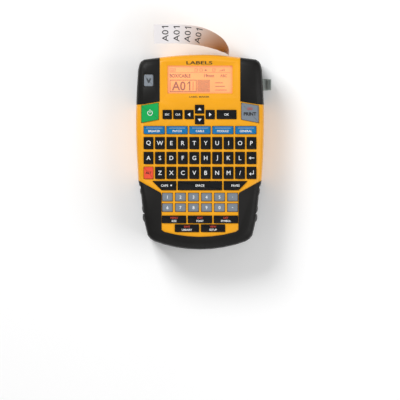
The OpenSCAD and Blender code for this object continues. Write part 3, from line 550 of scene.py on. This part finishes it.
LETTER_SIZE = {"letter": 5.9, "number": 4.3, "hot": 2.9, "escape": 2.7, "clear": 2.7, "ok": 3.2,
               "caps": 3.1, "space": 3.2, "favourites": 3.1, "alternate": 3.2, "print": 4.6}
WEIGHT = {"letter": 0.008, "print": 0.03}
WORD_DROP = {"print": 1.2, "hot": 1.0}
RULE_HALF, RULE_Y, RULE_LINE = 8, 1.9, 0.2
ARROW_TURN = {"left_key": 90, "right_key": -90, "up_key": 0, "down_key": 180}


def key_words(node, plans):
    kind = node.split("_")[0]
    words, second = [], []
    for ring, text in zip(plans, KEY_LEGENDS[node]):
        at = centre_of(ring)
        spot = Vector((at.x, at.y, KEY_TOP))
        if isinstance(text, tuple):
            second.append(lettering(text[0], spot + Vector((0, 1.55 * MM, 0)), 2.7, weight=0.02))
            words.append(lettering(text[1], spot - Vector((0, 1.6 * MM, 0)), 2.7, weight=0.02))
        elif text:
            spot.y -= WORD_DROP.get(kind, 0) * MM
            words.append(lettering(text, spot, LETTER_SIZE[kind], weight=WEIGHT.get(kind, 0.018)))
        if kind == "hot":
            x, y = at.x / MM, at.y / MM + RULE_Y
            words.append(rectangle(x - RULE_HALF, y, x + RULE_HALF, y + RULE_LINE, KEY_TOP))
    return words, second


def symbols(node, plans):
    """Signs that are drawn rather than written: arrows, power, backspace and return."""
    at = centre_of(plans[-1]) / MM
    x, y, z = at.x, at.y, KEY_TOP
    if node in ARROW_TURN:
        return [arrow(x, y, 1.9, ARROW_TURN[node], z)]
    if node == "power_key":
        return [ring_shape(x, y - 0.2, 2.7, 0.62, z, 122, 418),
                rectangle(x - 0.32, y - 0.2, x + 0.32, y + 3.3, z)]
    if node == "letter_keys_middle":
        return [arrow(x - 1.5, y, 1.6, 90, z), rectangle(x - 1.2, y - 0.32, x + 2.8, y + 0.32, z)]
    if node == "letter_keys_lower":
        return [arrow(x - 1.3, y - 1.1, 1.5, 90, z), rectangle(x - 1, y - 1.4, x + 2.3, y - 0.8, z),
                rectangle(x + 1.7, y - 0.8, x + 2.3, y + 2.4, z)]
    if node == "caps_key":
        return [ring_shape(x + 6.7, y + 0.2, 0.85, 0.85, z, 0, 359)]
    return []


def make_keys():
    for node in KEY_LEGENDS:
        plans = key_plans(node)
        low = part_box(node)[0].z + 1.2 * MM
        numbers = node.startswith("number")
        caps = [key_cap(ring, low, KEY_TOP, 1.0, 0.3, 0.75 * MM if numbers else 0) for ring in plans]
        caps_piece = join(node + "_caps", caps)
        smooth(caps_piece, 38)
        finish_piece(caps_piece, node + "_caps", node)
        words, second = key_words(node, plans)
        ink = BLACK_INK if node in ("print_key", "alternate_key") else WHITE_INK
        if words or symbols_needed(node):
            print_on(node, node + "_print", words + symbols(node, plans), ink, "printed_tape")
        if second:
            print_on(node, node + "_second_print", second, RED_INK, "red_key")
    add_print_icon()


def symbols_needed(node):
    return node in ARROW_TURN or node == "power_key"


def add_print_icon():
    """Small red tag above the word on the print key."""
    at = centre_of(key_plans("print_key")[0]) / MM
    parts = frame_shape(at.x - 2.4, at.y + 2.9, at.x + 2.4, at.y + 5.1, 0.4, KEY_TOP)
    parts.append(rectangle(at.x - 1.2, at.y + 3.8, at.x + 1.2, at.y + 4.2, KEY_TOP))
    print_on("print_key", "print_key_icon", parts, RED_INK, "red_key")


# ---------------------------------------------------------------- casings, guards and back
SHELLS = {
    "front_case": 0.32, "rear_case": 0.3, "left_corner_guard": 0.9, "right_corner_guard": 0.9,
    "lower_bumper": 0.9, "rear_feet": 0.25, "cassette_door": 0.3, "battery_door": 0.3,
    "case_screws": 0.12, "door_pin": 0.1, "tape_cassette": 0.3, "drive_chassis": 0.2,
    "cutter_carrier": 0.2, "print_head": 0.2,
}


GRIP_COUNT, GRIP_TOP, GRIP_PITCH, GRIP_LEAN = 5, -39.5, 8.8, -0.13


def make_shells():
    for node, width in SHELLS.items():
        finish_piece(softened(node, width * MM), node + "_moulding", node)


def outline_x(node, y):
    """How far out a node reaches on its right side at a height y, from its CAD mesh."""
    corners = [v.co for v in frame["nodes"][node].data.vertices]
    right = sorted({(round(c.y / MM, 2), c.x / MM) for c in corners if c.x > 0}, key=lambda c: c[0])
    reach = {}
    for at, x in right:
        reach[at] = max(x, reach.get(at, 0))
    rows = sorted(reach.items())
    hull = [(a, x) for a, x in rows if x >= max(w for b, w in rows if abs(b - a) < 1.5) - 0.01]
    for (y0, x0), (y1, x1) in zip(hull, hull[1:]):
        if y0 <= y <= y1:
            return x0 + (x1 - x0) * (y - y0) / (y1 - y0)
    return hull[-1][1]


def make_grips():
    """Finger swells along both sides of the bumper, moulded in the same rubber."""
    swells = []
    for side in (-1, 1):
        for i in range(GRIP_COUNT):
            y = GRIP_TOP - i * GRIP_PITCH
            x = outline_x("lower_bumper", y) - 0.75
            bpy.ops.object.select_all(action="DESELECT")
            bpy.ops.mesh.primitive_uv_sphere_add(segments=32, ring_count=20, radius=MM)
            swell = bpy.context.object
            swell.scale = (1.7, GRIP_PITCH * 0.47, 17)
            swell.rotation_euler.z = side * GRIP_LEAN
            swell.location = (side * x * MM, y * MM, 27 * MM)
            settle(swell)
            swells.append(swell)
    grips = join("bumper_grips", swells)
    smooth(grips, 60)
    finish_piece(grips, "bumper_grips", "lower_bumper", hides=False)


def make_windows():
    """The display window and the tape window in the door, each a thin pane with a soft edge."""
    for node, thick in (("display_window", 0.8), ("door_window", 1.2)):
        low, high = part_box(node)
        inset = 2.1 * MM if node == "display_window" else 0
        bpy.ops.object.select_all(action="DESELECT")
        middle = (low + high) / 2
        bpy.ops.mesh.primitive_cube_add(
            size=1, location=(middle.x, middle.y, high.z - thick * MM / 2),
            scale=(high.x - low.x - 2 * inset, high.y - low.y - 2 * inset, thick * MM))
        pane = bpy.context.object
        settle(pane)
        bpy.ops.object.mode_set(mode="EDIT")
        pick_edges(pane, lambda a, b: abs(a.z - b.z) > 0.1 * MM)
        bpy.ops.mesh.bevel(offset=0.8 * MM, segments=4, affect="EDGES")
        pick_edges(pane, lambda a, b: min(a.z, b.z) > high.z - 0.01 * MM)
        bpy.ops.mesh.bevel(offset=0.15 * MM, segments=2, affect="EDGES")
        bpy.ops.object.mode_set(mode="OBJECT")
        smooth(pane)
        finish_piece(pane, node + "_pane", node)


def make_bezel_sign():
    """Generic words on the sloped edges above and below the display."""
    low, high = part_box("display_window")
    for text, name, size, width, edge, side in (("LABELS", "upper_sign", 4.9, 26, high.y, 1),
                                                ("LABEL MAKER", "lower_sign", 2.3, 20, low.y, -1)):
        word = lettering(text, Vector((0, 0, 0)), size, weight=0.02, width=width)
        lip = edge / MM - 2 * side
        start = Vector((lip + 1.0 * side, FACE_Z / MM - 1.6))
        end = Vector((lip + 4.8 * side, FACE_Z / MM))
        word.rotation_euler.x = math.atan2(end.y - start.y, abs(end.x - start.x)) * side
        spot = start.lerp(end, 0.46 if side > 0 else 0.62) * MM
        word.location = (-0.6 * MM, spot.x, spot.y + INK)
        settle(word)
        finish_piece(word, name, "front_case", BLACK_INK, hides=False, slot="black_key")


def make_release_mark():
    """The release button: a soft block, with a dark flat arrow on its top as painted shade of the arrow
    moulded in it.
    """
    node = "release_button"
    low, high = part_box(node)
    ring = key_plans(node)[0]
    cap = key_cap(ring, low.z + 1.2 * MM, high.z, 1.1, 0.5)
    smooth(cap, 38)
    finish_piece(cap, "release_cap", node)
    at = centre_of(ring) / MM
    # Dark chevron laid flat on the top: painted shade of the moulded arrow.
    mark = [(-2.5, 2.0), (-1.2, 2.0), (0, -0.6), (1.2, 2.0), (2.5, 2.0), (0.6, -2.4), (-0.6, -2.4)]
    chevron = flat_shape([(at.x + x, at.y + y) for x, y in mark], high.z)
    print_on(node, "release_arrow", [chevron], RELEASE_ARROW_SHADE, "black_key")


def make_lever():
    """The cutter lever with fine ribs along its thumb pad."""
    lever = softened("cutter_lever", 0.35 * MM)
    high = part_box("cutter_lever")[1]
    pad_top = high.z
    out = high.x / MM
    side = [v.co.y for v in lever.data.vertices if v.co.x > high.x - 1.5 * MM]
    y0, y1 = min(side) / MM + 0.6, max(side) / MM - 0.6
    count = 9
    ribs = []
    for i in range(count):
        y = y0 + (y1 - y0) * (i + 0.5) / count
        rib = rectangle(out - 3.3, y - 0.32, out - 0.5, y + 0.32, pad_top - 0.1 * MM, 0.1 * MM)
        ribs.append(rib)
    rail = join("lever_ribs", ribs)
    edge = rail.modifiers.new("edge", "BEVEL")
    edge.width, edge.segments = 0.04 * MM, 2
    apply_modifiers(rail)
    whole = join("cutter_lever_body", [lever, rail])
    finish_piece(whole, "cutter_lever_body", "cutter_lever")


# ---------------------------------------------------------------- display picture
def make_panel():
    node = "display_panel"
    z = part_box(node)[1].z
    pane = softened(node, 0.3 * MM)
    finish_piece(pane, "amber_screen", node)
    win_low, win_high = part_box("display_window")
    x0, y0 = win_low.x / MM + 2.6, win_low.y / MM + 2.6
    x1, y1 = win_high.x / MM - 2.6, win_high.y / MM - 2.6
    parts = frame_shape(x0 + 1.6, y1 - 5.4, x0 + 7.4, y1 - 2.2, 0.35, z)
    parts.append(rectangle(x0 + 2.6, y1 - 4.2, x0 + 6.4, y1 - 3.6, z))
    for x in (26.5, 31.5, 44.2):
        parts += frame_shape(x0 + x, y1 - 5.2, x0 + x + 3, y1 - 2.4, 0.4, z)
    parts.append(arrow(x0 + 37.6, y1 - 3.9, 1.5, 0, z))
    parts += [rectangle(x0 + 51 + i * 1.5, y1 - 5, x0 + 51.9 + i * 1.5, y1 - 4.4 + i * 0.55, z)
              for i in range(4)]
    parts.append(rectangle(x0 + 1.5, y1 - 6.5, x1 - 1.5, y1 - 6.2, z))
    parts.append(lettering("BOX/CABLE", Vector(((x0 + 12) * MM, (y1 - 9.6) * MM, z)), 4.9, weight=0.035,
                           width=21))
    parts.append(lettering("19mm", Vector(((x0 + 41) * MM, (y1 - 9.6) * MM, z)), 4.3, weight=0.03,
                           width=10))
    parts.append(lettering("ABC", Vector(((x0 + 55.5) * MM, (y1 - 9.6) * MM, z)), 3.9, weight=0.02,
                           width=7))
    parts += frame_shape(x0 + 1.6, y0 + 1.0, x0 + 28.5, y0 + 13.2, 0.7, z)
    code = asset_code(12.5, 18.5, 0.018)
    code.location = ((x0 + 13) * MM, (y0 + 7.0) * MM, z + INK / 2)
    settle(code)
    parts.append(code)
    parts.append(rectangle(x0 + 24.6, y0 + 2.8, x0 + 25.3, y0 + 11.4, z))
    hatch = [rectangle(x0 + 29.4 + i * 0.9, y0 + 1.0, x0 + 29.9 + i * 0.9, y0 + 13.2, z)
             for i in range(14)]
    parts += hatch
    for i in range(3):
        parts.append(rectangle(x0 + 47, y0 + 2.6 + i * 3.6, x0 + 58.8 - i * 2, y0 + 3.3 + i * 3.6, z))
    print_on(node, "screen_picture", parts, AMBER_DARK, "amber_panel")
    rim = frame_shape(x0 - 1.9, y0 - 1.9, x1 + 1.9, y1 + 1.9, 1.1, z)
    print_on(node, "screen_surround", rim, FINISH["dark_plastic"], "dark_plastic")


# ---------------------------------------------------------------- label
TAPE_LOW, TAPE_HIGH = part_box("inner_tape")
TAPE_X = (TAPE_LOW.x + TAPE_HIGH.x) / 2 / MM
TAPE_Z = (TAPE_LOW.z + TAPE_HIGH.z) / 2 / MM
TAPE_WIDTH = (TAPE_HIGH.z - TAPE_LOW.z) / MM
TAPE_THICK = (TAPE_HIGH.x - TAPE_LOW.x) / MM
# Right, up and forward of the slot, then how far the tape stands on edge, in degrees
LABEL_WAY = [(0, -7.6, 0, 90), (0, -3, 0, 90), (0, 0.5, 0, 90), (-1.6, 4, 2, 76),
             (-4.7, 7.4, 5, 62), (-10.7, 12, 9, 46), (-20.5, 16.3, 15, 30), (-30.7, 19, 21, 16),
             (-42.7, 20.4, 27, 6), (-58, 20.8, 33, 1), (-74.8, 20.5, 38, -2)]


def spread(share):
    """Smooth curve through the way points, at a share of the way from 0 to 1."""
    last = len(LABEL_WAY) - 1
    i = min(last - 1, int(share * last))
    t = share * last - i
    rows = [LABEL_WAY[j] for j in (max(0, i - 1), i, i + 1, min(last, i + 2))]
    return [0.5 * (2 * b + (c - a) * t + (2 * a - 5 * b + 4 * c - d) * t * t
                   + (3 * b - a - 3 * c + d) * t ** 3) for a, b, c, d in zip(*rows)]


def tape_point(share, across, lift=0.0):
    """Point on the label: a share of its way, a place across it, and a height off its face."""
    here = spread(share)
    ahead, behind = spread(min(1, share + 0.01)), spread(max(0, share - 0.01))
    way = Vector((ahead[0] - behind[0], ahead[1] - behind[1])).normalized()
    c, s = math.cos(math.radians(here[3])), math.sin(math.radians(here[3]))
    wide = Vector((way.y * c, -way.x * c, s))
    face = Vector((-way.y * s, way.x * s, c))
    middle = Vector((TAPE_X + here[0], HALF_LENGTH / MM + here[1], TAPE_Z + here[2]))
    return (middle + wide * across + face * lift) * MM


def tape_lengths(steps=400):
    lengths, spot = [0.0], tape_point(0, 0)
    for i in range(1, steps + 1):
        following = tape_point(i / steps, 0)
        lengths.append(lengths[-1] + (following - spot).length / MM)
        spot = following
    return lengths


LENGTHS = tape_lengths()


def share_at(length):
    """Share of the way at which the label is this long, in millimetres."""
    steps = len(LENGTHS) - 1
    for i in range(steps):
        if LENGTHS[i + 1] >= length:
            part = (length - LENGTHS[i]) / (LENGTHS[i + 1] - LENGTHS[i])
            return (i + part) / steps
    return 1.0


CODE_COUNT, CODE_SIZE, CODE_WIDTH, CODE_STEP, FREE_END = 4, 9.4, 15.5, 12.0, 11.8


def make_label():
    bpy.ops.object.select_all(action="DESELECT")
    bpy.ops.mesh.primitive_grid_add(x_subdivisions=140, y_subdivisions=8, size=2)
    tape = bpy.context.object
    whole = LENGTHS[-1]
    for vertex in tape.data.vertices:
        share = share_at((vertex.co.x + 1) / 2 * whole)
        vertex.co = tape_point(share, vertex.co.y * TAPE_WIDTH / 2, TAPE_THICK / 2 - 0.02)
    thick = tape.modifiers.new("thickness", "SOLIDIFY")
    thick.thickness = (TAPE_THICK - 0.05) * MM
    near_end = tape.data.polygons[len(tape.data.polygons) * 5 // 8]
    thick.offset = -1 if near_end.normal.z > 0 else 1
    apply_modifiers(tape)
    alone(tape)
    bpy.ops.object.mode_set(mode="EDIT")
    bpy.ops.mesh.select_all(action="SELECT")
    bpy.ops.mesh.normals_make_consistent(inside=False)
    bpy.ops.object.mode_set(mode="OBJECT")
    smooth(tape, 40)
    finish_piece(tape, "label_strip", "printed_label")
    prints = []
    for i in range(CODE_COUNT):
        word = asset_code(CODE_SIZE, CODE_WIDTH, 0.004)
        alone(word)
        bpy.ops.object.mode_set(mode="EDIT")
        bpy.ops.mesh.select_all(action="SELECT")
        bpy.ops.mesh.quads_convert_to_tris()
        bpy.ops.mesh.subdivide(number_cuts=2)
        bpy.ops.object.mode_set(mode="OBJECT")
        middle = whole - FREE_END - i * CODE_STEP
        for vertex in word.data.vertices:
            share = share_at(middle + vertex.co.y / MM)
            vertex.co = tape_point(share, vertex.co.x / MM, TAPE_THICK / 2 + vertex.co.z / MM)
        prints.append(word)
    print_on("printed_label", "label_print", prints, BLACK_INK, "black_key")


# ---------------------------------------------------------------- the rest of the inside
def finish_nodes():
    """Every node that no piece stands for keeps its shape and takes its own finish."""
    for node, part in frame["nodes"].items():
        part.data.materials.clear()
        part.data.materials.append(FINISH[SLOT_OF[node]])


set_camera()
set_studio()
finish_nodes()
make_shells()
make_grips()
make_windows()
make_keys()
make_release_mark()
make_lever()
make_panel()
make_bezel_sign()
make_label()
